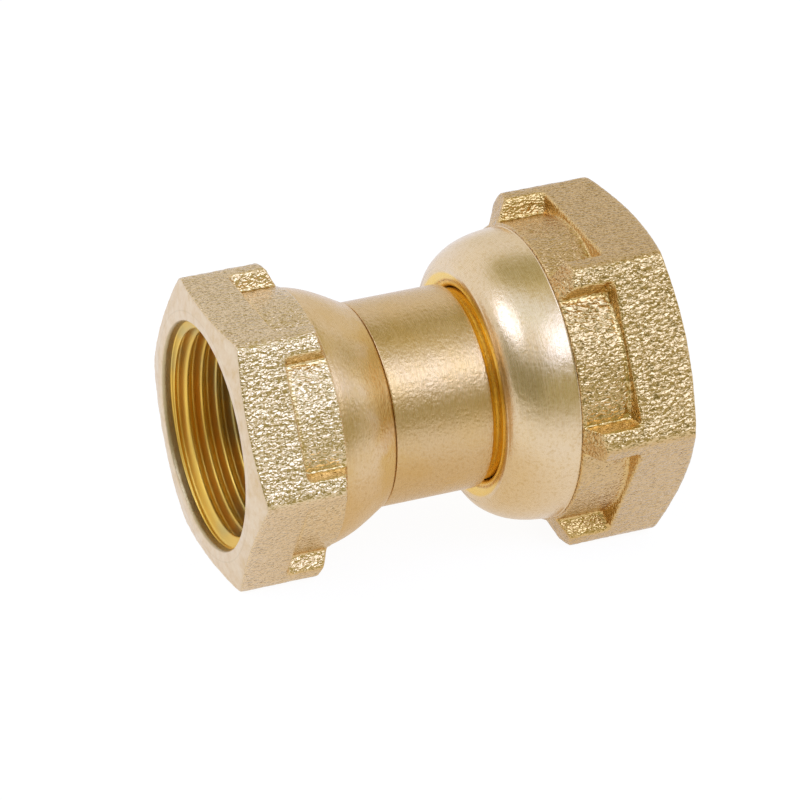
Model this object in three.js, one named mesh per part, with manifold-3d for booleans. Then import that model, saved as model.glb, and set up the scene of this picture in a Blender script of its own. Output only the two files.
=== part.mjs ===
// Union fitting: a brass sleeve that joins two captive swivel nuts of different size.
// Millimetres. +X runs along the waterway from the small nut to the large nut, +Z is up.
// The origin is on the axis, half way between the two open ends.
import * as THREE from "three";
import { mergeVertices } from "three/addons/utils/BufferGeometryUtils.js";
import Module from "manifold-3d";

const wasm = await Module();
wasm.setup();

// ---------------------------------------------------------------- driving dimensions

const LENGTH = 53.5;
const BORE_R = 7.6;
const ROUND_SEGMENTS = 40;
const EDGE = 0.3;
const MOUTH_CLEARANCE = 0.1;
const OVERSHOOT = 1;
const TURNING_ALLOWANCE = 0.1;

// Nut sizes. "open" is the end the pipe screws into, "rear" the end that faces the sleeve.
// All x values are measured from the open face towards the sleeve. "dome" lists [x, r].
const SMALL = {
  acrossFlats: 32,
  threadMajorR: 13.22,
  threadMinorR: 12.06,
  threadPitch: 25.4 / 14,
  mouthR: 13.5,
  mouthDepth: 1.2,
  faceR: 16.0,
  faceChamfer: 0.9,
  pocketWall: 6.1,
  pocketHalfWidth: 7.1,
  pocketFloorR: 15.3,
  lugCorner: 10.3,
  lugEnd: 11.6,
  threadEnd: 11.4,
  chamberR: 12.4,
  chamberCorner: 0.4,
  seat: 16.9,
  holeR: 10.35,
  dome: [
    [11.6, 15.3],
    [13.4, 14.85],
    [15.0, 14.2],
    [16.6, 13.35],
    [18.0, 12.55],
    [19.0, 12.0],
  ],
};

const LARGE = {
  acrossFlats: 36.6,
  threadMajorR: 16.62,
  threadMinorR: 15.15,
  threadPitch: 25.4 / 11,
  mouthR: 16.9,
  mouthDepth: 1.2,
  faceR: 18.3,
  faceChamfer: 1.1,
  pocketWall: 7.6,
  pocketHalfWidth: 8.4,
  pocketFloorR: 17.6,
  lugCorner: 12.1,
  lugEnd: 13.8,
  threadEnd: 13.0,
  chamberR: 15.3,
  chamberCorner: 0.4,
  seat: 19.5,
  holeR: 11.35,
  dome: [
    [13.8, 17.55],
    [15.4, 17.35],
    [17.2, 16.95],
    [18.9, 16.3],
    [20.2, 15.55],
    [21.1, 14.75],
    [21.6, 13.9],
  ],
};

// Sleeve, and the two flanged tailpieces fixed in it.
const SLEEVE_R = 12.0;
const SLEEVE_START = -7.4;
const SLEEVE_END = 4.25;
const TAIL_R = 9.95;
const TAIL_CLEARANCE = 0.05;
const TAIL_GAP = 0.4;
const TAIL_MEET = -1.6;

const SMALL_FLANGE_R = 11.8;
const SMALL_FLANGE_BACK = -11.1;
const SMALL_FLANGE_THICK = 2.0;
const SMALL_NECK_R = 10.0;

const LARGE_FLANGE_R = 14.6;
const LARGE_FLANGE_BACK = 7.8;
const LARGE_FLANGE_THICK = 2.2;
const LARGE_NECK_R = 11.0;

// Flat sealing washers, gripped by the thread at the inner end of each nut.
const GASKET_THICK = 2.0;
const GASKET_BORE_R = 8.6;
const SMALL_GASKET_R = 12.0;
const SMALL_GASKET_GAP = 0.1;
const LARGE_GASKET_R = 15.1;
const LARGE_GASKET_BORE_R = 10.2;
const LARGE_GASKET_GAP = 1.0;

// ---------------------------------------------------------------- materials

const BRASS_CAST = { color: 0xd9b277, roughness: 0.48, metalness: 1.0 };
const BRASS_TURNED = { color: 0xdcb67a, roughness: 0.3, metalness: 1.0 };
const RUBBER = { color: 0x23262a, roughness: 0.85, metalness: 0.0 };

// ---------------------------------------------------------------- geometry helpers

// A three.js geometry as a solid, facing outwards.
function solid(geometry) {
  const bare = geometry.index ? geometry.toNonIndexed() : geometry.clone();
  bare.deleteAttribute("normal");
  bare.deleteAttribute("uv");
  const merged = mergeVertices(bare, 1e-4);
  return new wasm.Manifold(
    new wasm.Mesh({
      numProp: 3,
      vertProperties: merged.attributes.position.array,
      triVerts: new Uint32Array(merged.index.array),
    }),
  );
}

// Revolves a closed [x, r] profile, listed with x falling on its outer side, about the X axis.
function revolve(profile) {
  const closed = [...profile, profile[0]];
  const points = closed.map(([x, r]) => new THREE.Vector2(r, x));
  const geometry = new THREE.LatheGeometry(points, ROUND_SEGMENTS);
  geometry.rotateZ(-Math.PI / 2);
  return solid(geometry);
}

// A plain tube or, with no inner radius, a disc.
function ring(x0, x1, outerR, innerR) {
  return revolve([
    [x0, innerR],
    [x0, outerR],
    [x1, outerR],
    [x1, innerR],
  ]);
}

// A regular hexagonal prism about the X axis, two of its flats facing +Z and -Z.
function hexPrism(x0, x1, acrossFlats) {
  const cornerR = acrossFlats / Math.sqrt(3);
  const shape = new THREE.Shape();
  for (let i = 0; i < 6; i += 1) {
    const angle = (i * Math.PI) / 3;
    const across = cornerR * Math.cos(angle);
    const up = cornerR * Math.sin(angle);
    if (i === 0) shape.moveTo(-up, across);
    else shape.lineTo(-up, across);
  }
  const geometry = new THREE.ExtrudeGeometry(shape, { depth: x1 - x0, bevelEnabled: false });
  geometry.rotateY(Math.PI / 2);
  geometry.translate(x0, 0, 0);
  return solid(geometry);
}

// A box standing on the flat that faces `angle`, from radius r0 to r1.
function flatBox(x0, x1, halfWidth, r0, r1, angle) {
  const geometry = new THREE.BoxGeometry(x1 - x0, 2 * halfWidth, r1 - r0);
  geometry.translate((x0 + x1) / 2, 0, (r0 + r1) / 2);
  geometry.rotateX(angle);
  return solid(geometry);
}

// The groove of a right-hand internal thread, as a solid that runs from x0 towards x1.
// The Whitworth form: flats of a sixth of the pitch at root and crest.
function threadGroove(x0, x1, majorR, minorR, pitch) {
  const stepsPerTurn = ROUND_SEGMENTS;
  const undercut = 0.2;
  const steps = Math.round(((x1 - x0) / pitch) * stepsPerTurn);
  const rootHalf = pitch / 12;
  const mouthHalf = (pitch * 5) / 12;
  const flankRun = (mouthHalf - rootHalf) / (majorR - minorR);
  const positions = [];
  const indices = [];
  for (let i = 0; i <= steps; i += 1) {
    const angle = (i / stepsPerTurn) * 2 * Math.PI;
    const x = x0 + (i / stepsPerTurn) * pitch;
    const runOut = Math.min(1, (steps - i) / (stepsPerTurn / 3));
    const depthR = minorR + (majorR - minorR) * runOut;
    const openHalf = rootHalf + flankRun * (depthR - minorR + undercut);
    const section = [
      [x - openHalf, minorR - undercut],
      [x - rootHalf, depthR],
      [x + rootHalf, depthR],
      [x + openHalf, minorR - undercut],
    ];
    for (const [px, pr] of section) {
      positions.push(px, pr * Math.cos(angle), pr * Math.sin(angle));
    }
  }
  for (let i = 0; i < steps; i += 1) {
    for (let k = 0; k < 4; k += 1) {
      const a = 4 * i + k;
      const b = 4 * i + ((k + 1) % 4);
      indices.push(a, a + 4, b, b, a + 4, b + 4);
    }
  }
  const last = 4 * steps;
  indices.push(0, 1, 2, 0, 2, 3);
  indices.push(last, last + 2, last + 1, last, last + 3, last + 2);
  const geometry = new THREE.BufferGeometry();
  geometry.setAttribute("position", new THREE.Float32BufferAttribute(positions, 3));
  geometry.setIndex(indices);
  return solid(geometry);
}

function mesh(name, body, finish) {
  const result = body.getMesh();
  const geometry = new THREE.BufferGeometry();
  geometry.setAttribute("position", new THREE.BufferAttribute(result.vertProperties, 3));
  geometry.setIndex(new THREE.BufferAttribute(result.triVerts, 1));
  const made = new THREE.Mesh(geometry, new THREE.MeshStandardMaterial(finish));
  made.name = name;
  return made;
}

// ---------------------------------------------------------------- swivel nuts

// The envelope the hexagon is turned to: chamfered at the open face, coned at the lugs.
function hexEnvelope(n) {
  const cornerR = n.acrossFlats / Math.sqrt(3) + TURNING_ALLOWANCE;
  return revolve([
    [0, 0],
    [0, n.faceR],
    [n.faceChamfer, cornerR],
    [n.lugCorner, cornerR],
    [n.lugEnd, n.pocketFloorR],
    [n.lugEnd, 0],
  ]);
}

// The domed rear shell of the nut, from inside the hexagon to its rear lip.
function domeShell(n) {
  const root = n.lugCorner - OVERSHOOT;
  const rim = n.dome[n.dome.length - 1];
  return revolve([[root, 0], [root, n.dome[0][1]], ...n.dome, [rim[0], 0]]);
}

// The recess cast into the rear half of every flat, down to a round floor.
function flatPockets(n) {
  const outside = n.acrossFlats;
  const end = n.lugEnd + OVERSHOOT;
  let boxes = null;
  for (let i = 0; i < 6; i += 1) {
    const angle = (i * Math.PI) / 3;
    const box = flatBox(n.pocketWall, end, n.pocketHalfWidth, n.threadMajorR, outside, angle);
    boxes = boxes ? boxes.add(box) : box;
  }
  return boxes.subtract(ring(n.pocketWall - OVERSHOOT, end + OVERSHOOT, n.pocketFloorR, 0));
}

// The stepped cavity: mouth, thread bore, chamber for washer and flange, seat and rear hole.
function nutCavity(n) {
  const rearFace = n.dome[n.dome.length - 1][0];
  return revolve([
    [-OVERSHOOT, 0],
    [-OVERSHOOT, n.mouthR],
    [n.mouthDepth, n.threadMajorR + MOUTH_CLEARANCE],
    [n.mouthDepth + n.threadMajorR - n.threadMinorR, n.threadMinorR],
    [n.threadEnd, n.threadMinorR],
    [n.threadEnd + EDGE, n.chamberR],
    [n.seat - n.chamberCorner, n.chamberR],
    [n.seat, n.chamberR - n.chamberCorner],
    [n.seat, n.holeR],
    [rearFace - EDGE, n.holeR],
    [rearFace + OVERSHOOT, n.holeR + EDGE + OVERSHOOT],
    [rearFace + OVERSHOOT, 0],
  ]);
}

// A nut with its open face at x = 0 and its dome towards +X.
function swivelNut(n) {
  const hexagon = hexPrism(0, n.lugEnd, n.acrossFlats).intersect(hexEnvelope(n));
  const outer = hexagon.subtract(flatPockets(n)).add(domeShell(n));
  const groove = threadGroove(-n.threadPitch, n.threadEnd, n.threadMajorR, n.threadMinorR, n.threadPitch);
  return outer.subtract(nutCavity(n).add(groove));
}

function smallNut() {
  return swivelNut(SMALL).translate([-LENGTH / 2, 0, 0]);
}

// Turned end for end about Z, so that its thread stays right-handed.
function largeNut() {
  return swivelNut(LARGE).rotate([0, 0, 180]).translate([LENGTH / 2, 0, 0]);
}

// ---------------------------------------------------------------- sleeve and tailpieces

function sleeve() {
  return revolve([
    [SLEEVE_START, TAIL_R + TAIL_CLEARANCE],
    [SLEEVE_START, SLEEVE_R - EDGE],
    [SLEEVE_START + EDGE, SLEEVE_R],
    [SLEEVE_END - EDGE / 2, SLEEVE_R],
    [SLEEVE_END, SLEEVE_R - EDGE / 2],
    [SLEEVE_END, TAIL_R + TAIL_CLEARANCE],
  ]);
}

function smallTailpiece() {
  const front = SMALL_FLANGE_BACK - SMALL_FLANGE_THICK;
  return revolve([
    [front, BORE_R],
    [front, SMALL_FLANGE_R - EDGE],
    [front + EDGE, SMALL_FLANGE_R],
    [SMALL_FLANGE_BACK - EDGE, SMALL_FLANGE_R],
    [SMALL_FLANGE_BACK, SMALL_FLANGE_R - EDGE],
    [SMALL_FLANGE_BACK, SMALL_NECK_R],
    [SLEEVE_START - 2 * TAIL_CLEARANCE, SMALL_NECK_R],
    [SLEEVE_START, TAIL_R],
    [TAIL_MEET - TAIL_GAP, TAIL_R],
    [TAIL_MEET - TAIL_GAP, BORE_R],
  ]);
}

function largeTailpiece() {
  const front = LARGE_FLANGE_BACK + LARGE_FLANGE_THICK;
  const shoulder = SLEEVE_END + TAIL_CLEARANCE;
  return revolve([
    [TAIL_MEET, BORE_R],
    [TAIL_MEET, TAIL_R],
    [shoulder, TAIL_R],
    [shoulder, LARGE_NECK_R],
    [LARGE_FLANGE_BACK, LARGE_NECK_R],
    [LARGE_FLANGE_BACK, LARGE_FLANGE_R - EDGE],
    [LARGE_FLANGE_BACK + EDGE, LARGE_FLANGE_R],
    [front - EDGE, LARGE_FLANGE_R],
    [front, LARGE_FLANGE_R - EDGE],
    [front, BORE_R],
  ]);
}

// ---------------------------------------------------------------- washers

function smallGasket() {
  const inner = SMALL_FLANGE_BACK - SMALL_FLANGE_THICK - SMALL_GASKET_GAP;
  return ring(inner - GASKET_THICK, inner, SMALL_GASKET_R, GASKET_BORE_R);
}

function largeGasket() {
  const inner = LARGE_FLANGE_BACK + LARGE_FLANGE_THICK + LARGE_GASKET_GAP;
  return ring(inner, inner + GASKET_THICK, LARGE_GASKET_R, LARGE_GASKET_BORE_R);
}

// ---------------------------------------------------------------- assembly

const fitting = new THREE.Group();
fitting.name = "union_fitting";
fitting.add(mesh("sleeve", sleeve(), BRASS_TURNED));
fitting.add(mesh("small_tailpiece", smallTailpiece(), BRASS_TURNED));
fitting.add(mesh("large_tailpiece", largeTailpiece(), BRASS_TURNED));
fitting.add(mesh("small_nut", smallNut(), BRASS_CAST));
fitting.add(mesh("large_nut", largeNut(), BRASS_CAST));
fitting.add(mesh("small_gasket", smallGasket(), RUBBER));
fitting.add(mesh("large_gasket", largeGasket(), RUBBER));

export default fitting;
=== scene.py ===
"""Union fitting with two captive swivel nuts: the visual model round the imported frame.

Shapes are worked out in millimetres and become metres when a mesh is made. A nut is built
with its open face at x = 0 and its dome towards +x, then set in its place in the frame.
"""
import math
import bpy
import numpy as np
from mathutils import Matrix, Vector, noise


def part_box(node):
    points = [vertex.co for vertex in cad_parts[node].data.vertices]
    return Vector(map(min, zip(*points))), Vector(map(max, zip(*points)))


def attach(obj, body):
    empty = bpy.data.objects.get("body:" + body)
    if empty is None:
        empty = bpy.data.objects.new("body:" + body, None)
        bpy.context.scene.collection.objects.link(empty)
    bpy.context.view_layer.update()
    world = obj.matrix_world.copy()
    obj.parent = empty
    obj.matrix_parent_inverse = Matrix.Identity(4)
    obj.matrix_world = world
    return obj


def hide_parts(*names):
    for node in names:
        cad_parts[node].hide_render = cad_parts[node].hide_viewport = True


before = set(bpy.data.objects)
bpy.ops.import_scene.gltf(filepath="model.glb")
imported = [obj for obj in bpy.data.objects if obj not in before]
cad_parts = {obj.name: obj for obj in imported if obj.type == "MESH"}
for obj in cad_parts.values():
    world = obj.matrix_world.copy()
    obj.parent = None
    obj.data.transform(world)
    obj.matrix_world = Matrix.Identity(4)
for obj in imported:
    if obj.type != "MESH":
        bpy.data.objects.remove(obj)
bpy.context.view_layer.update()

MM = 1000.0


def box_mm(node):
    """Lowest and highest corner of a CAD node, in millimetres."""
    low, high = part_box(node)
    return [c * MM for c in low], [c * MM for c in high]


# ------------------------------------------------------------------ sizes in millimetres
# They follow the CAD, apart from the rounded lips, edges and drafts that only the eye needs.
# x is measured from a nut's open face, and dome lists the turned back as (x, radius).

SMALL = dict(
    across=32.0, major=13.22, minor=12.06, pitch=25.4 / 14,
    mouth=13.5, land=13.3, land_end=1.1, ring=14.6, face_r=16.0, chamfer=0.9,
    wall_x=6.1, pocket_half=7.1, floor_r=15.3, lug_corner=10.3, lug_end=11.6,
    thread_end=11.4, chamber=12.4, chamber_corner=0.4, seat=16.9, hole=10.35,
    lip=10.9, lip_deep=0.5, lip_tint=1.3, dome_step=0.14,
    dome=[(11.6, 15.3), (13.4, 14.85), (15.0, 14.2), (16.6, 13.35), (18.0, 12.55), (19.0, 12.0)],
)
LARGE = dict(
    across=36.6, major=16.62, minor=15.15, pitch=25.4 / 11,
    mouth=16.9, land=16.7, land_end=1.1, ring=17.5, face_r=18.3, chamfer=1.1,
    wall_x=7.6, pocket_half=8.4, floor_r=17.6, lug_corner=12.1, lug_end=13.8,
    thread_end=13.0, chamber=15.3, chamber_corner=0.4, seat=19.5, hole=11.35,
    lip=12.8, lip_deep=1.3, lip_tint=0.0, dome_step=0.3,
    dome=[(13.8, 17.55), (15.4, 17.35), (17.2, 16.95), (18.9, 16.3), (20.2, 15.55),
          (21.1, 14.75), (21.6, 13.9)],
)

# Columns of one nut over half a flat: pocket floor, pocket side wall, lug.
FLOOR_COLS, WALL_COLS, LUG_COLS = 22, 6, 12
HALF_COLS = FLOOR_COLS + WALL_COLS + LUG_COLS
COARSE_FLAT = math.radians(150)    # direction of a coarse flat, from +Y towards +Z
INNER_STEP = 3                     # one inner column for every three outer ones
THREAD_STEP = 0.07                 # spacing of the rows along a thread
MOUTH_SLOPE = 3.0                  # how steeply the plain mouth narrows into the thread
SIDE_DRAFT = math.tan(math.radians(25))
END_DRAFT = math.tan(math.radians(12))
EDGE_ROUND = 0.30                  # blend widths: the forged edges,
SIDE_ROUND = 0.45                  # the hexagon's long edges,
FACE_ROUND = 0.25                  # the edges of the open face,
RING_ROUND = 0.05                  # the edge of the flat ring on it,
POCKET_ROUND = 0.7                 # a pocket's corners,
FLOOR_ROUND = 0.3                  # a pocket's walls into its floor,
SKIN_ROUND = 0.1                   # the rear edge of the forged skin,
SKIN_BLEND = 0.15                  # and the skin into the lugs
CORNER_REACH = 0.7                 # how far out a point looks to find that it is in a corner
EDGE_LEAD = 0.3                    # rows gather this close to an edge
LEAST_WALL = 0.25                  # a pocket's side wall keeps this much width on the cone
NUT_GAP = 0.03                     # the sleeve starts this close behind the small nut
REAR_EDGE = 0.12                   # the dome is rounded off over this length at its rear rim
DOME_FADE = 5                      # the step from the skin down to the dome is gone this far on
RUN_OUT = 0.6                      # the thread runs out over this share of its pitch
FACE_FALL = 0.3                    # how far the face falls back outside its flat ring
ROLL_WIDTH, ROLL_DROP = 1.4, 0.11  # each flat rolls off this near its long edges, by this much

# The order of a nut's material slots. FORGED is the coarse forged skin and FINE the finer one.
FACE, FORGED, TURNED, NECK, THREAD, FINE = range(6)

SLEEVE_R, TAIL_R, BORE_R = 12.0, 10.0, 7.6
SMALL_FLANGE_R, SMALL_FLANGE = 11.8, 2.0    # radius and thickness
LARGE_FLANGE_R, LARGE_FLANGE = 14.6, 2.2
LARGE_NECK_R, LARGE_ROOT_R = 11.3, 11.0     # the neck in the gap, and beside the flange
FIT = 0.05                                  # from a tailpiece's end to the sleeve round it


# ------------------------------------------------------------------ small maths

def lerp(a, b, t):
    return a + (b - a) * t


def ease(t):
    return t * t * (3 - 2 * t)


def smooth_max(a, b, k):
    h = np.clip(k - np.abs(a - b), 0, None) / k
    return np.maximum(a, b) + h * h * k / 4


def smooth_min(a, b, k):
    return -smooth_max(-a, -b, k)


def profile_curve(points, x):
    """A smooth curve through (x, r) points: cubic Hermite, starting flatter than its first side."""
    px, pr = np.array(points).T
    secant = np.diff(pr) / np.diff(px)
    slope = np.empty(len(px))
    slope[0], slope[-1] = secant[0] * 0.4, secant[-1]
    slope[1:-1] = (secant[:-1] + secant[1:]) / 2
    i = np.clip(np.searchsorted(px, x, side="right") - 1, 0, len(px) - 2)
    h = px[i + 1] - px[i]
    t = np.clip((x - px[i]) / h, 0, 1)
    return (
        (2 * t**3 - 3 * t**2 + 1) * pr[i] + (t**3 - 2 * t**2 + t) * h * slope[i]
        + (3 * t**2 - 2 * t**3) * pr[i + 1] + (t**3 - t**2) * h * slope[i + 1]
    )


def path_rows(points, fractions):
    """Rows along one path per column, by share of its length. points: list of (x, u, w)."""
    p = np.array([np.stack(np.broadcast_arrays(*q)) for q in points], float)
    seg = np.linalg.norm(np.diff(p, axis=0), axis=1)
    along = np.concatenate([np.zeros((1, seg.shape[1])), np.cumsum(seg, axis=0)])
    rows = []
    for f in fractions:
        goal = f * along[-1]
        row = np.empty((3, seg.shape[1]))
        for c in range(seg.shape[1]):
            for axis in range(3):
                row[axis, c] = np.interp(goal[c], along[:, c], p[:, axis, c])
        rows.append(tuple(row))
    return rows


# ------------------------------------------------------------------ mesh making

def mesh_object(name, verts_mm, faces, materials, slots, shade_and_stain, body, nodes):
    """A smooth-shaded piece of the object. slots gives each face's material, and the array after it
    gives from 0 to 1 each point's painted shade, with the small dome's rim staining added."""
    mesh = bpy.data.meshes.new(name)
    mesh.from_pydata((np.asarray(verts_mm) / MM).tolist(), [], faces)
    for m in materials:
        mesh.materials.append(m)
    mesh.polygons.foreach_set("material_index", slots)
    mesh.polygons.foreach_set("use_smooth", [True] * len(faces))
    # The painted shade, with the small dome's rim staining, is kept as a point attribute.
    mesh.attributes.new("shade_and_stain", "FLOAT", "POINT").data.foreach_set("value", shade_and_stain)
    mesh.validate()
    mesh.update()
    o = bpy.data.objects.new(name, mesh)
    bpy.context.scene.collection.objects.link(o)
    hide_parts(*nodes)
    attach(o, body)


def band(first, second, count, flip=False):
    """Quads between two closed rings of the same count, by the index of their first vertex."""
    quads = []
    for c in range(count):
        d = (c + 1) % count
        q = (first + c, first + d, second + d, second + c)
        quads.append(q[::-1] if flip else q)
    return quads


# ------------------------------------------------------------------ the nut's outer skin

def half_angles(n):
    """Angle from the flat's normal of each column on the full hexagon, centre to corner."""
    half = n["across"] / 2
    floor_u = pocket_points(n, half / math.cos(math.pi / 6))[0][0]
    wall_u = lerp(floor_u[-1], n["pocket_half"], np.arange(1, WALL_COLS + 1) / WALL_COLS)
    low = math.atan2(n["pocket_half"], half)
    t = ease(np.arange(1, LUG_COLS + 1) / LUG_COLS)
    return np.concatenate([
        np.arctan2(floor_u, half), np.arctan2(wall_u, half), lerp(low, math.pi / 6, t),
    ])


def pocket_points(n, cone_r):
    """(u, w) of floor, side wall and lug columns where the lugs are trimmed to cone_r."""
    half, r0, edge = n["across"] / 2, n["floor_r"], n["pocket_half"]

    def on_wall(radius):
        """Where the sloping side wall meets a circle of this radius, found step by step."""
        w = math.sqrt(max(radius**2 - edge**2, 1))
        for _ in range(30):
            u = edge - (half - w) * SIDE_DRAFT
            w = math.sqrt(max(radius**2 - u * u, 1))
        return edge - (half - w) * SIDE_DRAFT, w

    foot_u, foot_w = on_wall(r0)
    # The floor's columns stand a little closer together towards the wall.
    t = np.arange(FLOOR_COLS + 1) / FLOOR_COLS
    t = 0.75 * t + 0.25 * np.sin(t * math.pi / 2)
    floor_u = foot_u * t
    floor = (floor_u, np.sqrt(r0 * r0 - floor_u * floor_u))
    if math.hypot(edge, half) <= cone_r:
        top_u, top_w = edge, half
    else:
        top_u, top_w = on_wall(max(cone_r, r0))
    if top_u < foot_u + LEAST_WALL:
        top_u = foot_u + LEAST_WALL
        top_w = math.sqrt(max(cone_r, r0) ** 2 - top_u * top_u)
    s = np.arange(1, WALL_COLS + 1) / WALL_COLS
    wall = (lerp(foot_u, top_u, s), lerp(foot_w, top_w, s))
    start = math.atan2(top_u, top_w)
    a = lerp(start, math.pi / 6, ease(np.arange(1, LUG_COLS + 1) / LUG_COLS))
    r = np.minimum(half / np.cos(a), max(cone_r, r0))
    return floor, wall, (r * np.sin(a), r * np.cos(a))


def joined(parts):
    """The (u, w) of floor, wall and lug as one run of columns."""
    return np.concatenate([p[0] for p in parts]), np.concatenate([p[1] for p in parts])


def cone_radius(n, x):
    """Radius of the cone that trims the lugs at x, or past every corner in front of it."""
    corner = n["across"] / math.sqrt(3)
    t = (x - n["lug_corner"]) / (n["lug_end"] - n["lug_corner"])
    return lerp(corner, n["floor_r"], min(t, 1)) if t > 0 else corner + 1


def outer_rows(n, split_front, split_rear):
    """Rows (x, u, w) over half a flat, from the open face out and back to the rear face, with
    each row's zone: FACE, FORGED or TURNED."""
    half, corner = n["across"] / 2, n["across"] / math.sqrt(3)
    a = half_angles(n)
    sin, cos = np.sin(a), np.cos(a)
    hex_r = half / cos
    lead = EDGE_LEAD
    rows, zone = [], []

    def add(new, kind):
        rows.extend(new)
        zone.extend([kind] * len(new))

    face_in = n["face_r"] - lead
    ring = n["ring"]
    steps = [split_front, ring - 0.1, ring - 0.03, ring + 0.05, ring + 0.14]
    steps += list(np.linspace(ring + 0.3, face_in, 4)[:-1])
    add([(0 * a, r * sin, r * cos) for r in steps], FACE)
    edge_x = np.clip(n["chamfer"] * (hex_r - n["face_r"]) / (corner - n["face_r"]), 0, None)
    add(path_rows([
        (0 * a, face_in * sin, face_in * cos),
        (0 * a, n["face_r"] * sin, n["face_r"] * cos),
        (edge_x, hex_r * sin, hex_r * cos),
    ], np.linspace(0, 1, 12)), FACE)
    add([(edge_x + t, hex_r * sin, hex_r * cos) for t in (0.08, 0.2, lead)], FORGED)
    start, end = edge_x + lead, n["wall_x"] - lead
    inside = np.linspace(0, 1, 24)[1:-1]
    add([(lerp(start, end, t), hex_r * sin, hex_r * cos) for t in inside], FORGED)

    pocket_u, pocket_w = joined(pocket_points(n, corner + 1))
    deep = (half - pocket_w) * (pocket_u <= n["pocket_half"] + 1e-6)
    deep[FLOOR_COLS + WALL_COLS:] = 0
    wall_out = n["wall_x"] + deep.max() * END_DRAFT + lead
    add(path_rows([
        (0 * a + end, hex_r * sin, hex_r * cos),
        (0 * a + n["wall_x"], hex_r * sin, hex_r * cos),
        (n["wall_x"] + deep * END_DRAFT, pocket_u, pocket_w),
        (0 * a + wall_out, pocket_u, pocket_w),
    ], np.linspace(0, 1, 13)), FORGED)
    for x in np.linspace(wall_out, n["lug_corner"] - lead, 16)[1:]:
        add([(0 * a + x, *joined(pocket_points(n, corner + 1)))], FORGED)
    for x in np.linspace(n["lug_corner"] - lead, n["lug_end"], 13)[1:]:
        add([(0 * a + x, *joined(pocket_points(n, cone_radius(n, x))))], FORGED)

    u, w = rows[-1][1:]
    b = np.arctan2(u, w)

    def circle(x, r):
        return (0 * b + x, r * np.sin(b), r * np.cos(b))

    root = n["dome"][0][1] - n["dome_step"]
    add([circle(n["lug_end"] + 0.03, r) for r in (n["floor_r"] - 0.06, root)], FORGED)
    rear_x, rim = n["dome"][-1]
    dome_x = np.linspace(n["lug_end"] + 0.1, rear_x - REAR_EDGE, 36)
    add([circle(x, r) for x, r in zip(dome_x, dome_radius(n, dome_x))], TURNED)
    add([circle(rear_x - REAR_EDGE * (1 - t), rim - 0.1 * t) for t in (0.35, 0.7)], TURNED)
    add([circle(rear_x, r) for r in np.linspace(rim - 0.2, split_rear, 3)], TURNED)
    return rows, zone


def dome_radius(n, x):
    """The turned dome, a little below the forged skin where it starts."""
    fade = np.clip(1 - (x - n["lug_end"]) / DOME_FADE, 0, 1)
    return profile_curve(n["dome"], x) - n["dome_step"] * fade


def nut_field(n, p):
    """Signed distance, roughly, from the nut's rounded outer surface."""
    x, y, z = p[:, 0], p[:, 1], p[:, 2]
    r = np.hypot(y, z)
    half, corner = n["across"] / 2, n["across"] / math.sqrt(3)
    a = (np.arctan2(z, y) - math.pi / 2 + math.pi / 6) % (math.pi / 3) - math.pi / 6
    u, w = np.abs(r * np.sin(a)), r * np.cos(a)

    def flat(angle):
        past = r * np.sin(angle) - half * math.tan(math.pi / 6) + ROLL_WIDTH
        return r * np.cos(angle) + ROLL_DROP * (np.clip(past, 0, 2 * ROLL_WIDTH) / ROLL_WIDTH) ** 2

    hexagon = smooth_max(flat(np.abs(a)), flat(math.pi / 3 - np.abs(a)), SIDE_ROUND) - half

    def cone(x0, r0, x1, r1):
        length = math.hypot(x1 - x0, r1 - r0)
        return ((r - r0) * (x1 - x0) - (x - x0) * (r1 - r0)) / length

    front = cone(0, n["face_r"], n["chamfer"], corner)
    rear = cone(n["lug_corner"], corner, n["lug_end"], n["floor_r"])
    face = smooth_max(-x, cone(0, n["ring"], FACE_FALL, n["face_r"]), RING_ROUND)
    body = smooth_max(hexagon, front, FACE_ROUND)
    body = smooth_max(body, face, FACE_ROUND)
    body = smooth_max(body, rear, EDGE_ROUND)
    side = (u - n["pocket_half"] + (half - w) * SIDE_DRAFT) / math.hypot(1, SIDE_DRAFT)
    end = (n["wall_x"] - x + (half - w) * END_DRAFT) / math.hypot(1, END_DRAFT)
    pocket = smooth_max(smooth_max(side, end, POCKET_ROUND), n["floor_r"] - r, FLOOR_ROUND)
    body = smooth_max(body, -pocket, EDGE_ROUND)
    skin = smooth_max(r - n["floor_r"], x - n["lug_end"], SKIN_ROUND)
    skin = np.maximum(skin, n["wall_x"] - 2 - x)
    return smooth_min(body, skin, SKIN_BLEND)


def rounded_on(n, p, steps=4):
    """Points moved on to the rounded surface, and the surface normals there."""
    h = 0.01
    for _ in range(steps):
        g = np.stack([
            (nut_field(n, p + d) - nut_field(n, p - d)) / (2 * h)
            for d in np.eye(3) * h
        ], axis=1)
        size = np.maximum((g * g).sum(1), 0.25)
        p = p - g * (nut_field(n, p) / size)[:, None]
    return p, g / np.maximum(np.linalg.norm(g, axis=1), 1e-6)[:, None]


# The dents of the forged skin: height, noise scale per millimetre, and which way they shift.
DENTS = ((0.030, 0.45, 1), (0.030, 1.3, 1), (0.028, 2.6, -1))
FACE_GRAIN = 0.25                  # how much of their height is left on the open face


def grain(p, seed):
    """Height of the forged, blasted skin, as a sum of soft dents of three sizes."""
    shift = Vector((seed, seed * 0.7, -seed))
    return np.array([
        sum(height * noise.noise(Vector(q) * scale + shift * way) for height, scale, way in DENTS)
        for q in p
    ])


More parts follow.
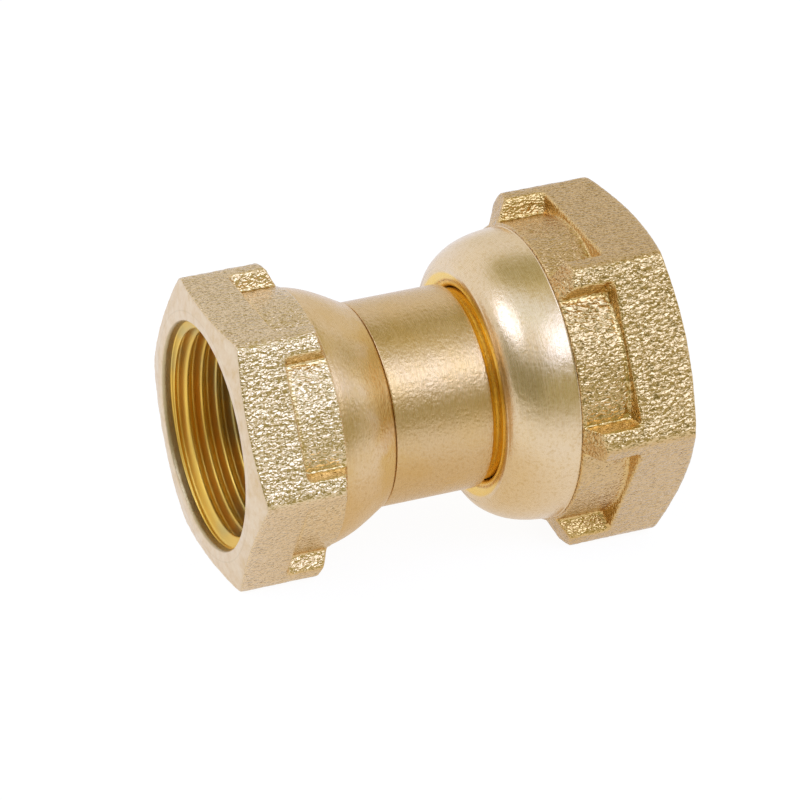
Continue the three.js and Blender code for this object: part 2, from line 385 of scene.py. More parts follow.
def all_round(rows):
    """Rows over half a flat, mirrored and repeated six times round the axis, as points."""
    sign = np.concatenate([-np.ones(HALF_COLS), np.ones(HALF_COLS)])
    pick = np.concatenate([np.arange(HALF_COLS, 0, -1), np.arange(HALF_COLS)])
    points = []
    for x, u, w in rows:
        ring = []
        for k in range(6):
            f = math.pi / 2 + k * math.pi / 3
            uu, ww = sign * u[pick], w[pick]
            ring.append(np.stack([
                x[pick],
                ww * math.cos(f) - uu * math.sin(f),
                ww * math.sin(f) + uu * math.cos(f),
            ], axis=1))
        points.append(np.concatenate(ring))
    return np.stack(points)


# How strongly painted shade darkens inner corners and pocket walls, and how dark the line at the
# ring's edge is.
CORNER_TINT, WALL_TINT, RING_TINT = 1.3, 0.5, 0.3


def forged_recess(n, p, normal):
    """Painted shade of points on the forged skin, in inner corners and on pocket walls, and a dark
    line at the ring's edge.
    """
    near = 1 - nut_field(n, p + normal * CORNER_REACH) / CORNER_REACH
    x, r = p[:, 0], np.hypot(p[:, 1], p[:, 2])
    radial = (normal[:, 1] * p[:, 1] + normal[:, 2] * p[:, 2]) / r
    in_pocket = (x > n["wall_x"] - 0.1) & ((x < n["wall_x"] + 1) | (normal[:, 0] < 0.5))
    wall = np.clip((0.82 - radial) / 0.15, 0, 1) * in_pocket
    line = np.clip(1 - np.abs(r - n["ring"]) / 0.1, 0, 1) * (x < 0.3) * RING_TINT
    return np.clip(np.maximum(np.maximum(near * CORNER_TINT, wall * WALL_TINT), line), 0, 1)


# Noise scale per millimetre and share of each size of patch of staining on a dome. The darkening,
# staining with painted shade along the rear rim, starts and is full this far before that rim.
STAIN_PATCHES = ((0.16, 1.7), (0.5, 0.9), (1.6, 0.3))
DARKEN_START, DARKEN_FULL = 5, 1


def dome_stain_and_shade(n, p):
    """Patchy staining that thickens towards the dome's rear rim, with painted shade along the rim
    where the dome meets the sleeve.
    """
    past = p[:, 0] - n["dome"][-1][0] + DARKEN_START
    tail = np.clip(past / (DARKEN_START - DARKEN_FULL), 0, 1)
    patchy = np.array([
        sum(noise.noise(Vector(q) * scale) * share for scale, share in STAIN_PATCHES)
        for q in p
    ])
    return n["lip_tint"] * np.clip(tail * 1.15 - 0.45 + patchy, 0, 1) * tail


def outer_skin(n, seed, split_front, split_rear):
    """Points of the outer skin by row and column, each row's zone, and each point's painted shade,
    with the dome's staining.
    """
    rows, zone = outer_rows(n, split_front, split_rear)
    p = all_round(rows)
    zone = np.array(zone)
    forged = np.repeat(zone <= FORGED, p.shape[1])
    flat = p.reshape(-1, 3)
    moved, normal = rounded_on(n, flat[forged])
    # The grain is faint on the open face, gone on its first ring, and fades out at the dome.
    strength = np.where(moved[:, 0] < 0.12, FACE_GRAIN, 1.0)
    strength = strength * np.clip((n["lug_end"] - moved[:, 0]) / 0.3, 0, 1)
    first = np.repeat(np.arange(len(zone)) == 0, p.shape[1])[forged]
    strength[first] = 0
    flat[forged] = moved + normal * (grain(moved, seed) * strength)[:, None]
    shade_and_stain = np.zeros(len(flat))
    shade_and_stain[forged] = forged_recess(n, moved, normal)
    shade_and_stain = np.maximum(shade_and_stain, dome_stain_and_shade(n, flat))
    # Painted shade on the rear face, deepening inwards from its rim.
    rear_x, rim = n["dome"][-1]
    lip = flat[:, 0] > rear_x - 0.1
    r = np.hypot(flat[:, 1], flat[:, 2])
    shade_and_stain[lip] = np.maximum(shade_and_stain[lip], np.clip((rim - 0.5 - r[lip]) / 0.8, 0, 1))
    return flat.reshape(p.shape), zone, shade_and_stain


# ------------------------------------------------------------------ the nut's cavity

def thread_radius(n, x, angle):
    """Radius of the right-hand internal thread, crests and roots rounded."""
    phase = ((x - n["pitch"] * angle / (2 * math.pi)) / n["pitch"]) % 1.0
    depth = 0.5 + 0.5 * np.cos(2 * math.pi * phase)
    depth = np.clip(lerp(depth, ease(depth), 0.3) * 1.04 - 0.02, 0, 1)
    fade = np.clip((n["thread_end"] - x) / (RUN_OUT * n["pitch"]), 0, 1)
    return n["minor"] + (n["major"] - n["minor"]) * depth * fade


def inner_skin(n, ring_front, ring_rear, split_front, split_rear):
    """Points of the cavity by row and column, from the front face inwards through the thread
    to the rear face, and each row's material."""
    front = np.arctan2(ring_front[:, 2], ring_front[:, 1])[::INNER_STEP]
    rear = np.arctan2(ring_rear[:, 2], ring_rear[:, 1])[::INNER_STEP]
    turn = (rear - front + math.pi) % (2 * math.pi) - math.pi
    plain = [
        (0.0, lerp(split_front, n["mouth"], 0.3)), (0.0, n["mouth"] + 0.12), (0.03, n["mouth"] + 0.02),
        (0.14, n["mouth"] - 0.06), (0.32, n["land"] + 0.02), (0.45, n["land"]),
        (n["land_end"] - 0.3, n["land"]), (n["land_end"] - 0.05, n["land"] - 0.01),
    ]
    end = n["thread_end"]
    threaded = np.linspace(n["land_end"], end, int((end - n["land_end"]) / THREAD_STEP))
    rear_x = n["dome"][-1][0]
    corner = n["chamber_corner"]
    tail = [
        (end + 0.08, n["minor"]), (end + 0.3, n["chamber"]), (end + 0.9, n["chamber"]),
        (n["seat"] - corner - 0.1, n["chamber"]), (n["seat"] - corner, n["chamber"] - 0.05),
        (n["seat"] - 0.06, n["chamber"] - corner + 0.06), (n["seat"], n["chamber"] - corner - 0.05),
        (n["seat"], n["hole"] + 0.15), (n["seat"] + 0.05, n["hole"] + 0.04),
        (n["seat"] + 0.2, n["hole"]), (rear_x - n["lip_deep"] - 0.1, n["hole"]),
    ]
    for t in np.linspace(0, math.pi / 2, 10):
        x = rear_x - n["lip_deep"] * (1 - math.sin(t))
        tail.append((x, lerp(n["lip"], n["hole"], math.cos(t))))
    tail.append((rear_x, lerp(n["lip"], split_rear, 0.5)))
    total = len(plain) + len(threaded) + len(tail)
    rows, zone = [], []

    def add(x, r, kind):
        b = front + turn * ease(len(rows) / (total - 1))
        radius = r(b) if callable(r) else r + 0 * b
        rows.append(np.stack([x + 0 * b, radius * np.cos(b), radius * np.sin(b)], axis=1))
        zone.append(kind)

    for x, r in plain:
        add(x, r, FACE)
    for x in threaded:
        cone = n["land"] - (x - n["land_end"]) * MOUTH_SLOPE
        add(x, lambda b, x=x, cone=cone: smooth_max(thread_radius(n, x, b), cone, 0.15), THREAD)
    for x, r in tail:
        add(x, r, TURNED if x > rear_x - n["lip_deep"] else NECK)
    return np.stack(rows), np.array(zone)


def inner_recess(n, p):
    """Painted shade of the cavity's points: none on the face, growing over the mouth, full inside."""
    r = np.hypot(p[:, 1], p[:, 2])
    mouth = np.clip(0.3 + p[:, 0] / 0.4, 0, 1)
    ring = np.abs(p[:, 0] - n["land_end"] - 0.25) < 0.3
    return np.where(r > n["mouth"], 0, np.where(ring, 0.35, mouth))


# ------------------------------------------------------------------ the nut

def coarse_columns(ring, turned_round):
    """The columns on the two opposite flats that have the forging's coarse grain."""
    y = -ring[:, 1] if turned_round else ring[:, 1]
    from_flat = np.arctan2(ring[:, 2], y) - COARSE_FLAT
    coarse = np.abs((from_flat + math.pi / 2) % math.pi - math.pi / 2) < math.pi / 6 + 1e-3
    return coarse & np.roll(coarse, -1)


def nut(name, n, body, turned_round, seed, materials):
    """One nut as a closed mesh: an outer skin, a cavity, and a ring that joins them at each end.
    materials are in the order of the slots."""
    split_front = lerp(n["mouth"], n["ring"], 0.75)
    rim = n["dome"][-1][1]
    split_rear = lerp(n["lip"], rim, 0.5)
    outer, zone, shade_and_stain = outer_skin(n, seed, split_front, split_rear)
    inner, inner_zone = inner_skin(n, outer[0], outer[-1], split_front, split_rear)
    across, inward = outer.shape[1], inner.shape[1]
    shade_and_stain = np.concatenate([shade_and_stain, inner_recess(n, inner.reshape(-1, 3))])
    verts = np.concatenate([outer.reshape(-1, 3), inner.reshape(-1, 3)])
    base = outer.shape[0] * across
    faces, slots = [], []
    coarse = coarse_columns(outer[0], turned_round)
    for i in range(outer.shape[0] - 1):
        faces += band(i * across, (i + 1) * across, across)
        slots += np.where(coarse | (zone[i + 1] != FORGED), int(zone[i + 1]), FINE).tolist()
    for i in range(inner.shape[0] - 1):
        faces += band(base + i * inward, base + (i + 1) * inward, inward, flip=True)
        slots += [int(inner_zone[i + 1])] * inward
    last_out, last_in = (outer.shape[0] - 1) * across, base + (inner.shape[0] - 1) * inward
    for c in range(inward):
        d = (c + 1) % inward
        edge = [(c * INNER_STEP + k) % across for k in range(INNER_STEP + 1)]
        faces.append(tuple([base + c, base + d] + edge[::-1]))
        slots.append(FACE)
        faces.append(tuple([last_in + d, last_in + c] + [last_out + e for e in edge]))
        slots.append(TURNED)
    low, high = box_mm(name)
    if turned_round:
        verts = np.stack([high[0] - verts[:, 0], -verts[:, 1], verts[:, 2]], axis=1)
    else:
        verts[:, 0] += low[0]
    mesh_object(name + "_brass", verts, faces, materials, slots, shade_and_stain, body, [name])


# ------------------------------------------------------------------ turned and cut rings

MOST_ROUND = 0.45                  # a corner's arc takes no more than this share of a side


def rounded_profile(points, steps=4):
    """A closed profile of (x, r, corner radius), its corners turned into short arcs."""
    out = []
    count = len(points)
    for i, (x, r, c) in enumerate(points):
        here = np.array([x, r], float)
        back = np.array(points[i - 1][:2], float) - here
        ahead = np.array(points[(i + 1) % count][:2], float) - here
        to_back, to_ahead = np.linalg.norm(back), np.linalg.norm(ahead)
        c = min(c, to_back * MOST_ROUND, to_ahead * MOST_ROUND)
        a, b = here + back / to_back * c, here + ahead / to_ahead * c
        for t in np.linspace(0, 1, steps + 1):
            out.append((1 - t) ** 2 * a + 2 * t * (1 - t) * here + t * t * b)
    return out


def long_sides_cut(profile, longest):
    """Adds points along a closed profile so that no side is longer than longest."""
    out = []
    for i, a in enumerate(profile):
        b = profile[(i + 1) % len(profile)]
        parts = max(1, int(np.linalg.norm(b - a) / longest))
        out += [lerp(a, b, k / parts) for k in range(parts)]
    return out


def ring_piece(name, points, body, material, columns=192, longest=0.5, wobble=0.0, deep=None):
    """A piece turned about the X axis, from a closed profile of (x, r, corner radius). deep(x, r)
    gives the painted shade, from 0 to 1, at a point of the profile."""
    profile = np.array(long_sides_cut(rounded_profile(points), longest))
    count = len(profile)
    b = np.arange(columns) / columns * 2 * math.pi
    verts, faces, shade_and_stain = [], [], []
    for x, r in profile:
        shade_and_stain += [deep(x, r) if deep else 0.0] * columns
        for a in b:
            d = 0.0
            if wobble:
                at = Vector((x * 0.6 + 4, math.cos(a) * r * 0.3, math.sin(a) * r * 0.3))
                d = wobble * noise.noise(at)
            verts.append((x, (r + d) * math.cos(a), (r + d) * math.sin(a)))
    for i in range(count):
        faces += band(i * columns, (i + 1) % count * columns, columns)
    following = np.roll(profile, -1, axis=0)
    area = (profile[:, 0] * following[:, 1] - following[:, 0] * profile[:, 1]).sum()
    if area > 0:
        faces = [f[::-1] for f in faces]
    slots = [0] * len(faces)
    mesh_object(name + "_turned", verts, faces, [material], slots, shade_and_stain, body, [name])


# ------------------------------------------------------------------ materials

class Nodes:
    """A short way to write a material's nodes."""

    def __init__(self, name):
        self.material = bpy.data.materials.new(name)
        self.material.use_nodes = True
        self.tree = self.material.node_tree
        self.tree.nodes.clear()
        self.out = self.tree.nodes.new("ShaderNodeOutputMaterial")
        self.bsdf = self.tree.nodes.new("ShaderNodeBsdfPrincipled")
        self.tree.links.new(self.bsdf.outputs[0], self.out.inputs[0])
        self.coord = self.tree.nodes.new("ShaderNodeTexCoord").outputs["Object"]

    def put(self, value, socket):
        if isinstance(value, bpy.types.NodeSocket):
            self.tree.links.new(value, socket)
        else:
            socket.default_value = value

    def math(self, op, a, b=0.0):
        n = self.tree.nodes.new("ShaderNodeMath")
        n.operation = op
        self.put(a, n.inputs[0])
        self.put(b, n.inputs[1])
        return n.outputs[0]

    def noise(self, vector, scale, detail=2.0, rough=0.5, distortion=0.0):
        n = self.tree.nodes.new("ShaderNodeTexNoise")
        self.put(vector, n.inputs["Vector"])
        self.put(scale, n.inputs["Scale"])
        self.put(detail, n.inputs["Detail"])
        self.put(rough, n.inputs["Roughness"])
        self.put(distortion, n.inputs["Distortion"])
        return n.outputs[0]

    def ramp(self, value, stops):
        """Colour by value, from a list of (position, colour)."""
        n = self.tree.nodes.new("ShaderNodeValToRGB")
        ramp = n.color_ramp
        while len(ramp.elements) < len(stops):
            ramp.elements.new(0.5)
        for e, (at, colour) in zip(ramp.elements, stops):
            e.position = at
            e.color = (*colour, 1)
        self.put(value, n.inputs[0])
        return n.outputs[0]

    def scaled(self, factors):
        """The object's coordinates, each axis times its own factor."""
        n = self.tree.nodes.new("ShaderNodeVectorMath")
        n.operation = "MULTIPLY"
        self.put(self.coord, n.inputs[0])
        self.put(factors, n.inputs[1])
        return n.outputs[0]

    def range(self, value, low, high, to_low, to_high):
        n = self.tree.nodes.new("ShaderNodeMapRange")
        for i, v in enumerate((value, low, high, to_low, to_high)):
            self.put(v, n.inputs[i])
        return n.outputs[0]

    def mix(self, factor, a, b):
        n = self.tree.nodes.new("ShaderNodeMix")
        n.data_type = "RGBA"
        self.put(factor, n.inputs["Factor"])
        self.put(a, n.inputs[6])
        self.put(b, n.inputs[7])
        return n.outputs[2]

    def bump(self, height, distance, strength=1.0):
        n = self.tree.nodes.new("ShaderNodeBump")
        self.put(height, n.inputs["Height"])
        self.put(strength, n.inputs["Strength"])
        self.put(distance, n.inputs["Distance"])
        return n.outputs[0]

    # The point attribute of painted shade, with the small dome's rim staining.
    def shade_and_stain(self):
        n = self.tree.nodes.new("ShaderNodeAttribute")
        n.attribute_name = "shade_and_stain"
        return n.outputs["Fac"]

    def round_axis(self, across, along):
        """Coordinates for marks that run round the X axis: fine across, slow along."""
        t = self.tree.nodes
        split = t.new("ShaderNodeSeparateXYZ")
        self.put(self.coord, split.inputs[0])
        x, y, z = split.outputs
        squares = self.math("ADD", self.math("MULTIPLY", y, y), self.math("MULTIPLY", z, z))
        r = self.math("SQRT", squares)
        slanted = self.math("ADD", x, self.math("MULTIPLY", r, 0.7))
        join = t.new("ShaderNodeCombineXYZ")
        self.put(self.math("MULTIPLY", slanted, across), join.inputs[0])
        self.put(self.math("MULTIPLY", self.math("DIVIDE", y, r), along), join.inputs[1])
        self.put(self.math("MULTIPLY", self.math("DIVIDE", z, r), along), join.inputs[2])
        return join.outputs[0]

    def finish(self, **sockets):
        for key, v in sockets.items():
            self.put(v, self.bsdf.inputs[key.replace("_", " ")])
        return self.material


BRASS = (0.78, 0.55, 0.27)
BRASS_DARK = (0.68, 0.45, 0.19)
# Painted shade inside the nuts' mouths.
MOUTH_SHADE = (0.50, 0.37, 0.17)
# Painted shade in the nuts' corners and at the large nut's rear face and lip, and a faint staining of
# its dome.
AMBER_SHADE_AND_STAIN = (0.92, 0.60, 0.13)
# Stains on the sleeve and the small dome, and also their painted shade: the sleeve's ends, the small
# dome's rim and rear face.
STAIN_AND_SHADE = (0.70, 0.44, 0.14)
# Painted shade and light bounced between brass faces, in the gaps round the necks and inside the nuts.
NECK_BOUNCE_AMBER = (0.95, 0.72, 0.22)


def in_corners(m, colour, share=1.0, deep_colour=AMBER_SHADE_AND_STAIN):
    """The colour, turned to a deeper one by painted shade back in corners, in gaps and inside the
    nuts, and by the small dome's rim staining.
    """
    return m.mix(m.math("MULTIPLY", m.shade_and_stain(), share), colour, (*deep_colour, 1))


def forged_brass(name, base, pit, scale, bite, rough):
    """Hot-forged and blasted skin: a glittering grain, a little longer along the axis, with painted
    shade in its pits and corners. scale is the grain's number of cells per metre and bite its height
    in metres."""
    m = Nodes(name)
    stretched = m.scaled((0.65, 1.0, 1.0))
    grains = m.noise(stretched, scale, 1, 0.4, 0.3)
    sand = m.noise(m.coord, 6000, 1, 0.5)
    broad = m.noise(m.coord, 900, 1, 0.5)
    height = m.math("ADD", grains, m.math("MULTIPLY", broad, 0.5))
    height = m.math("ADD", height, m.math("MULTIPLY", sand, 0.08))
    calmer = m.range(m.shade_and_stain(), 0, 0.8, 1, 0.4)
    height = m.math("MULTIPLY", m.math("SUBTRACT", height, 0.8), calmer)
    depth = m.math("ADD", m.math("MULTIPLY", grains, 0.75), m.math("MULTIPLY", sand, 0.25))
    colour = m.ramp(m.range(depth, 0.3, 0.7, 0, 1), [(0.1, pit), (0.45, base), (1.0, base)])
    return m.finish(
        Base_Color=in_corners(m, colour, 0.45),
        Metallic=1.0,
        Roughness=m.range(broad, 0.3, 0.7, rough - 0.02, rough + 0.03),
        Normal=m.bump(height, bite),
    )


def turned_brass(name, base, tone, most, bite=0.9):
    """Lathe-turned satin brass: fine marks running round the axis, patches with up to the share
    most of the given colour, which also deepens it where it carries painted shade, and specks pitted
    as deeply as bite says."""
    m = Nodes(name)
    rings = m.noise(m.round_axis(5200, 3.0), 1.0, 3, 0.6)
    broad_rings = m.noise(m.round_axis(900, 1.5), 1.0, 2, 0.5)
    specks = m.noise(m.coord, 2600, 3, 0.6)
    swells = m.noise(m.coord, 420, 2, 0.5)
    height = m.math("ADD", m.math("MULTIPLY", rings, 0.35), m.math("MULTIPLY", broad_rings, 0.35))
    height = m.math("ADD", height, m.math("MULTIPLY", specks, bite))
    height = m.math("ADD", height, m.math("MULTIPLY", swells, 1.6))
    dark = tuple(c * d / b for c, d, b in zip(base, BRASS_DARK, BRASS))
    speckled = m.ramp(m.range(specks, 0.3, 0.6, 0, 1), [(0.0, dark), (0.7, base), (1.0, base)])
    stains = m.range(m.noise(m.coord, 170, 3, 0.65), 0.42, 0.72, 0, most)
    colour = m.mix(stains, speckled, (*tone, 1))
    return m.finish(
        Base_Color=in_corners(m, colour, 1.0, tone),
        Metallic=1.0,
        Roughness=m.range(rings, 0.3, 0.7, 0.22, 0.32),
        Normal=m.bump(height, 0.00003),
    )


def faced_brass(name):
    """The nuts' open faces and mouths: faced off, matt and pale, with painted shade darkening the
    mouth.
    """
    m = Nodes(name)
    rings = m.noise(m.round_axis(2600, 1.5), 1.0, 2, 0.5)
    specks = m.noise(m.coord, 2100, 3, 0.6)
    height = m.math("ADD", m.math("MULTIPLY", rings, 0.25), m.math("MULTIPLY", specks, 1.2))
    tone = m.noise(m.coord, 700, 3, 0.65)
    colour = m.ramp(m.range(tone, 0.3, 0.7, 0, 1), [
        (0.0, (0.76, 0.55, 0.29)), (0.5, (0.82, 0.63, 0.39)), (1.0, (0.86, 0.69, 0.45)),
    ])
    return m.finish(
        Base_Color=in_corners(m, colour, 1.0, MOUTH_SHADE),
        Metallic=1.0,
        Roughness=m.range(specks, 0.3, 0.7, 0.36, 0.48),
        Normal=m.bump(height, 0.00005),
    )


def thread_brass(name):
    """Cut thread with fine tool marks that follow the thread; its deep amber, in patches from olive to
    orange, is painted shade and light bounced inside the nut.
    """
    m = Nodes(name)
    rings = m.noise(m.round_axis(6500, 0.9), 1.0, 3, 0.6)
    tone = m.noise(m.scaled((1.6, 1.0, 1.0)), 130, 2, 0.5)
    colour = m.ramp(m.range(tone, 0.35, 0.65, 0, 1), [
        (0.0, (0.66, 0.50, 0.17)), (0.45, (0.86, 0.57, 0.12)), (1.0, (0.95, 0.61, 0.11)),
    ])
    return m.finish(
        Base_Color=colour,
        Metallic=1.0,
        Roughness=m.range(rings, 0.3, 0.7, 0.36, 0.50),
        Normal=m.bump(rings, 0.00002),
    )


def washer_rubber(name):
    """Matt black rubber sheet with a faint speckle."""
    m = Nodes(name)
    specks = m.noise(m.coord, 1500, 3, 0.6)
    colour = m.ramp(m.range(specks, 0.3, 0.7, 0, 1), [
        (0.0, (0.018, 0.019, 0.022)), (1.0, (0.045, 0.047, 0.052)),
    ])
    return m.finish(
        Base_Color=colour,
        Roughness=m.range(specks, 0.3, 0.7, 0.65, 0.9),
        Normal=m.bump(specks, 0.00005, 0.8),
    )


# ------------------------------------------------------------------ the pieces

faced = faced_brass("brass_faced")
# Its amber is painted shade and bounced light, for the tailpieces and the nuts' inner ends.
neck_brass = turned_brass("brass_neck", (0.95, 0.74, 0.32), NECK_BOUNCE_AMBER, 0.3)
sleeve_brass = turned_brass("brass_sleeve", (0.71, 0.485, 0.235), STAIN_AND_SHADE, 0.5, 2.4)
threads = thread_brass("brass_thread")
rubber = washer_rubber("washer_rubber")
small_brass = [
    faced,
    forged_brass("brass_forged_small", (0.79, 0.595, 0.33), (0.57, 0.42, 0.19), 2900, 0.00023, 0.09),
    turned_brass("brass_dome_small", (0.77, 0.54, 0.28), STAIN_AND_SHADE, 0.65, 1.6),
    neck_brass,
    threads,
    forged_brass("brass_fine_small", (0.80, 0.59, 0.34), (0.64, 0.46, 0.25), 3600, 0.00023, 0.11),
]
large_brass = [
    faced,
    forged_brass("brass_forged_large", (0.71, 0.495, 0.225), (0.37, 0.25, 0.085), 2700, 0.00025, 0.08),
    turned_brass("brass_dome_large", (0.82, 0.615, 0.36), AMBER_SHADE_AND_STAIN, 0.10),
    neck_brass,
    threads,
    forged_brass("brass_fine_large", (0.67, 0.44, 0.19), (0.53, 0.34, 0.13), 3600, 0.00023, 0.11),
]

nut("small_nut", SMALL, "small_swivel", False, 3.1, small_brass)
nut("large_nut", LARGE, "large_swivel", True, 7.7, large_brass)


def sleeve():
    """The plain tube between the nuts, starting close behind the small one."""
    start = box_mm("small_nut")[1][0] + NUT_GAP
    end = box_mm("sleeve")[1][0]
    # Its end faces, which sit against the nuts, carry painted shade.
    ring_piece("sleeve", [
        (start, TAIL_R, 0.1), (start, SLEEVE_R, 0.2), (end, SLEEVE_R, 0.16), (end, TAIL_R, 0.1),
    ], "spigot", sleeve_brass, 256, 0.3, deep=lambda x, r: 0.4 if r < SLEEVE_R - 0.3 else 0.0)


def small_tailpiece():
    """The flange that holds the small nut, on a tail that ends inside the sleeve."""
    low, high = [corner[0] for corner in box_mm("small_tailpiece")]
    behind = low + SMALL_FLANGE
    step = box_mm("sleeve")[0][0]
    # Painted shade and bounced light all over, as it lies inside the nut and the sleeve.
    ring_piece("small_tailpiece", [
        (low, BORE_R, 0.3), (low, SMALL_FLANGE_R, 0.25), (behind, SMALL_FLANGE_R, 0.25),
        (behind, TAIL_R, 0.1), (step - 0.05, TAIL_R, 0.05), (step + 0.02, TAIL_R - FIT, 0.02),
        (high, TAIL_R - FIT, 0.2), (high, BORE_R, 0.2),
    ], "spigot", neck_brass, deep=lambda x, r: 0.8)


def large_tailpiece():
    """The flange that holds the large nut, on a neck that shows in the gap behind the nut."""
    low, high = [corner[0] for corner in box_mm("large_tailpiece")]
    front = high - LARGE_FLANGE
    step = box_mm("sleeve")[1][0] + 0.03
    # Painted shade and bounced light all over, as seen in the gap.
    ring_piece("large_tailpiece", [
        (low, BORE_R, 0.2), (low, TAIL_R - FIT, 0.2), (step, TAIL_R - FIT, 0.02),
        (step, LARGE_NECK_R + 0.2, 0.05), (step + 0.47, LARGE_NECK_R, 0.2),
        (front - 1.0, LARGE_NECK_R, 0.1), (front - 0.8, LARGE_ROOT_R, 0.1),
        (front, LARGE_ROOT_R, 0.1), (front, LARGE_FLANGE_R, 0.25),
        (high, LARGE_FLANGE_R, 0.25), (high, BORE_R, 0.3),
    ], "spigot", neck_brass, deep=lambda x, r: 0.75)


def gasket(name, body, hole):
    """A flat washer, its edges rounded and a little uneven."""
    low, high = box_mm(name)
    ring_piece(name, [
        (low[0], hole, 0.25), (low[0], high[1], 0.3), (high[0], high[1], 0.3), (high[0], hole, 0.25),
    ], body, rubber, columns=128, wobble=0.03)


sleeve()
small_tailpiece()
large_tailpiece()
gasket("small_gasket", "small_washer", hole=8.6)
gasket("large_gasket", "large_washer", hole=10.2)

# ------------------------------------------------------------------ floor

scene = bpy.context.scene
STUDIO_WHITE = (0.90, 0.95, 1.12)      # what the brass sees of the white studio, a little cool
SMALL_REST, LARGE_REST = 1, 12         # where the floor meets each nut, in mm from its open face
FLOOR_REACH = 3.0
FLOOR_GLOW, FLOOR_MATT = 1.06, 0.12    # the glow's strength, and the share of plain paper

# Places on the floor are in metres in its own frame. The brass sees it shaded under the small
# nut, within SHADE_NEAR to SHADE_FAR of the centre, and darker in front.
SHADE_CENTRE, SHADE = (-0.020, -0.014, 0), (0.78, 0.72, 0.62)
SHADE_NEAR, SHADE_FAR = 0.010, 0.028
FRONT_START, FRONT_END, FRONT = -0.07, -0.20, (0.52, 0.50, 0.38)


def floor():
    """A flat white floor, tilted to touch the lowest flat of both nuts."""
    small_low = box_mm("small_nut")[0]
    large_low, large_high = box_mm("large_nut")
    a = Vector((small_low[0] + SMALL_REST, 0, small_low[2]))
    b = Vector((large_high[0] - LARGE_REST, 0, large_low[2]))
    tilt = math.atan2(a.z - b.z, b.x - a.x)
    mesh = bpy.data.meshes.new("floor")
    s = FLOOR_REACH
    mesh.from_pydata([(-s, -s, 0), (s, -s, 0), (s, s, 0), (-s, s, 0)], [], [(0, 1, 2, 3)])
    m = Nodes("floor_paper")
    m.tree.nodes.remove(m.bsdf)
    glow = m.tree.nodes.new("ShaderNodeEmission")
    seen = m.tree.nodes.new("ShaderNodeLightPath").outputs["Is Camera Ray"]
    away = m.tree.nodes.new("ShaderNodeVectorMath")
    away.operation = "DISTANCE"
    m.tree.links.new(m.coord, away.inputs[0])
    away.inputs[1].default_value = SHADE_CENTRE
    shade = m.range(away.outputs["Value"], SHADE_NEAR, SHADE_FAR, 1, 0)
    split = m.tree.nodes.new("ShaderNodeSeparateXYZ")
    m.tree.links.new(m.coord, split.inputs[0])
    ahead = m.range(split.outputs[1], FRONT_START, FRONT_END, 0, 1)
    bounced = m.mix(ahead, (*STUDIO_WHITE, 1), (*FRONT, 1))
    bounced = m.mix(shade, bounced, (*SHADE, 1))
    m.tree.links.new(m.mix(seen, bounced, (1, 1, 1, 1)), glow.inputs[0])
    glow.inputs[1].default_value = FLOOR_GLOW
    paper = m.tree.nodes.new("ShaderNodeBsdfDiffuse")
    paper.inputs[0].default_value = (0.9, 0.9, 0.9, 1)
    both = m.tree.nodes.new("ShaderNodeMixShader")
    both.inputs[0].default_value = FLOOR_MATT
    m.tree.links.new(glow.outputs[0], both.inputs[1])
    m.tree.links.new(paper.outputs[0], both.inputs[2])
    m.tree.links.new(both.outputs[0], m.out.inputs[0])
    mesh.materials.append(m.material)
    o = bpy.data.objects.new("floor", mesh)
    scene.collection.objects.link(o)
    o.matrix_world = Matrix.Translation(b / MM) @ Matrix.Rotation(tilt, 4, "Y")


floor()

# ------------------------------------------------------------------ light

world = bpy.data.worlds.new("studio")
scene.world = world
world.use_nodes = True

WARM, PALE = (1.0, 0.97, 0.85), (0.93, 1.03, 1.14)
OLIVE, COOL = (1.0, 0.91, 0.46), (0.88, 1.0, 1.40)

# Each patch of sky over the one before: what patch() takes, in degrees, then level and tint.
# Azimuth 0 looks out of the front, towards -Y, and grows towards +X.
SKY = (
    ((150, 60, 45, 36, 60, 91, 92), 0.68, OLIVE),
    ((165, 32, 28, 44, 57, 72, 84), 0.48, OLIVE),
    ((145, 25, 18, -24, -14, 22, 36), 0.92, WARM),
    ((-30, 60, 30, 55, 66, 80, 88), 1.08, PALE),
    ((96, 9, 10, 18, 28, 36, 46), 0.55, OLIVE),
    ((-38, 34, 34, -11, -2, 27, 48), 0.33, OLIVE),
    ((28, 34, 14, -20, -2, 20, 31), 0.50, OLIVE),
    ((-78, 20, 12, 38, 47, 55, 63), 3.2, COOL),
    ((26, 19, 10, 30, 38, 54, 64), 2.4, COOL),
    ((73, 7, 6, 10, 16, 27, 33), 1.5, COOL),
)


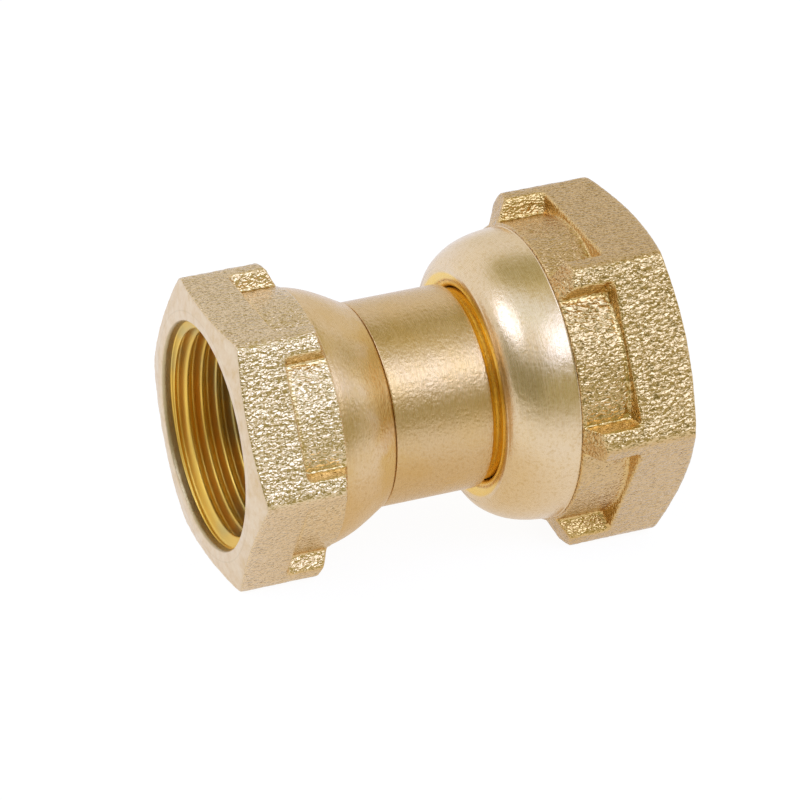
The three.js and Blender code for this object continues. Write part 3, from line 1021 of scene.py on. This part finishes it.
def studio():
    """A white tent with cool lights to the left, above the front and to the right, a dark gap
    below them and duller corners. The camera sees it plain white."""
    t = world.node_tree
    t.nodes.clear()
    out = t.nodes.new("ShaderNodeOutputWorld")
    back = t.nodes.new("ShaderNodeBackground")
    split = t.nodes.new("ShaderNodeSeparateXYZ")
    t.links.new(back.outputs[0], out.inputs[0])
    t.links.new(t.nodes.new("ShaderNodeTexCoord").outputs["Generated"], split.inputs[0])

    def math_node(op, a, b=0.0):
        n = t.nodes.new("ShaderNodeMath")
        n.operation = op
        for socket, v in zip(n.inputs, (a, b)):
            if isinstance(v, bpy.types.NodeSocket):
                t.links.new(v, socket)
            else:
                socket.default_value = v
        return n.outputs[0]

    azimuth = math_node("ARCTAN2", split.outputs[0], math_node("MULTIPLY", split.outputs[1], -1.0))
    elevation = math_node("ARCSINE", split.outputs[2])

    def step(value, low, high):
        n = t.nodes.new("ShaderNodeMapRange")
        n.interpolation_type = "SMOOTHSTEP"
        t.links.new(value, n.inputs["Value"])
        n.inputs["From Min"].default_value = math.radians(low)
        n.inputs["From Max"].default_value = math.radians(high)
        return n.outputs[0]

    def patch(centre, half, soft, low, full_low, full_high, high):
        """1 within half of the centre azimuth and between the two full elevations, falling to 0
        over soft degrees of azimuth, and at the low and high elevations."""
        off = t.nodes.new("ShaderNodeMath")
        off.operation = "WRAP"
        t.links.new(math_node("SUBTRACT", azimuth, math.radians(centre)), off.inputs[0])
        off.inputs[1].default_value, off.inputs[2].default_value = math.pi, -math.pi
        sides = step(math_node("ABSOLUTE", off.outputs[0]), half + soft, half)
        ends = math_node("MULTIPLY", step(elevation, low, full_low), step(elevation, high, full_high))
        return math_node("MULTIPLY", sides, ends)

    def paint(under, factor, level, tint):
        n = t.nodes.new("ShaderNodeMix")
        n.data_type = "RGBA"
        t.links.new(factor, n.inputs["Factor"])
        if isinstance(under, tuple):
            n.inputs[6].default_value = (*under, 1)
        else:
            t.links.new(under, n.inputs[6])
        n.inputs[7].default_value = (*[level * a * b for a, b in zip(STUDIO_WHITE, tint)], 1)
        return n.outputs[2]

    sky = STUDIO_WHITE
    for bounds, level, tint in SKY:
        sky = paint(sky, patch(*bounds), level, tint)
    lit = t.nodes.new("ShaderNodeLightPath")
    seen = t.nodes.new("ShaderNodeMix")
    seen.data_type = "RGBA"
    t.links.new(lit.outputs["Is Camera Ray"], seen.inputs["Factor"])
    t.links.new(sky, seen.inputs[6])
    seen.inputs[7].default_value = (1, 1, 1, 1)
    t.links.new(seen.outputs[2], back.inputs[0])
    back.inputs[1].default_value = 1.0


studio()
scene.view_settings.view_transform = "Standard"
scene.view_settings.look = "None"

# ------------------------------------------------------------------ camera

CAMERA_AZIMUTH, CAMERA_ELEVATION = -22.54, 29.25
CAMERA_DISTANCE, CAMERA_LENS = 0.6237, 243.1
AIM = Vector((-0.00232, 0.00023, -0.00059))

camera = bpy.data.objects.new("camera", bpy.data.cameras.new("camera"))
scene.collection.objects.link(camera)
az, el = math.radians(CAMERA_AZIMUTH), math.radians(CAMERA_ELEVATION)
away = Vector((math.sin(az) * math.cos(el), -math.cos(az) * math.cos(el), math.sin(el)))
camera.location = AIM + away * CAMERA_DISTANCE
camera.rotation_euler = (-away).to_track_quat("-Z", "Y").to_euler()
camera.data.lens = CAMERA_LENS
camera.data.sensor_width = 36
camera.data.clip_start = 0.01
camera.data.clip_end = 20
scene.camera = camera
